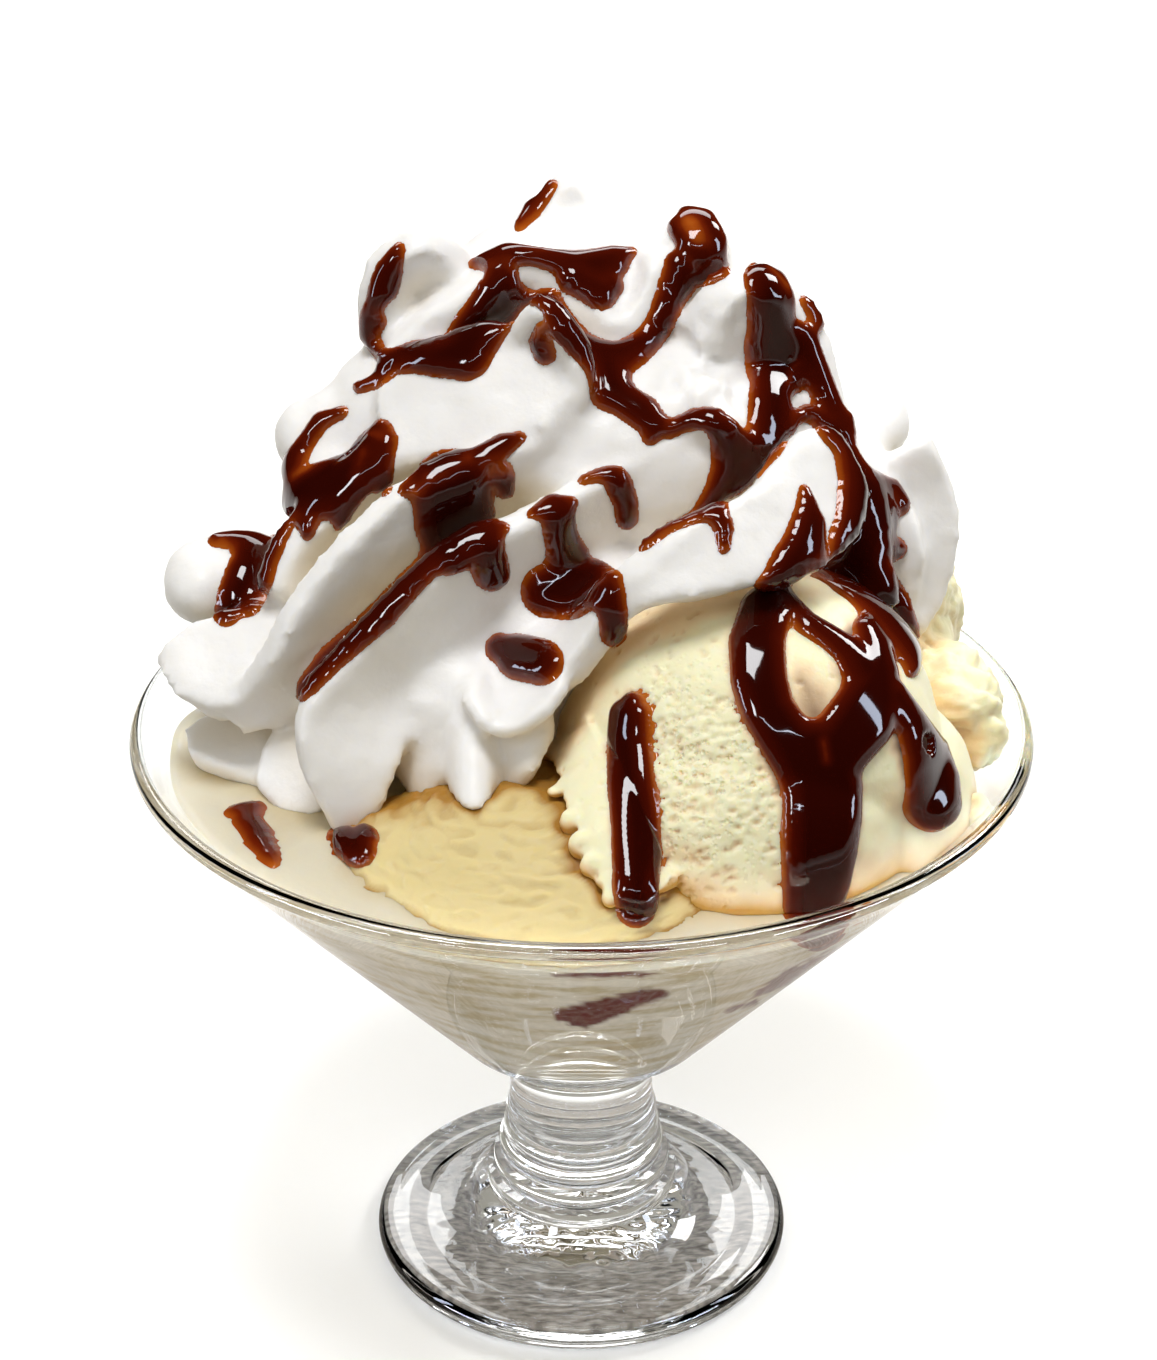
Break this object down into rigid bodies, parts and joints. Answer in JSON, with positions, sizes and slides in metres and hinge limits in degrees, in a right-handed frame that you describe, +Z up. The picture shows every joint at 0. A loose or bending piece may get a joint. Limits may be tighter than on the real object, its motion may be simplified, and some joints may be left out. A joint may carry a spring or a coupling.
{
  "type": "ice cream sundae",
  "caption": "Ice cream sundae in a clear footed glass coupe: vanilla scoops pressed into the cone, a piled swirl of piped cream with deep folds, and thick chocolate sauce over both.",
  "frame": {"origin": "the centre of the foot's underside, on the surface that the glass stands on", "axes": "+Z up along the glass's axis; -Y towards the viewer, the side where the large scoop and the lowest cream folds show; +X to the viewer's right"},
  "size_m": [0.12, 0.12, 0.1497],
  "materials": {
    "glass": "clear pressed glass, polished",
    "ice_cream": "vanilla ice cream, softly matte, with chocolate sauce over the scoops",
    "whipped_cream": "whipped cream, satin, with glossy chocolate sauce over it"
  },
  "bodies": {
    "root": {"glass": "glass", "ice_cream_base": "ice_cream", "scoop_front_right": "ice_cream", "scoop_front_left": "ice_cream", "scoop_back_right": "ice_cream", "whipped_cream": "whipped_cream"}
  },
  "joints": []
}
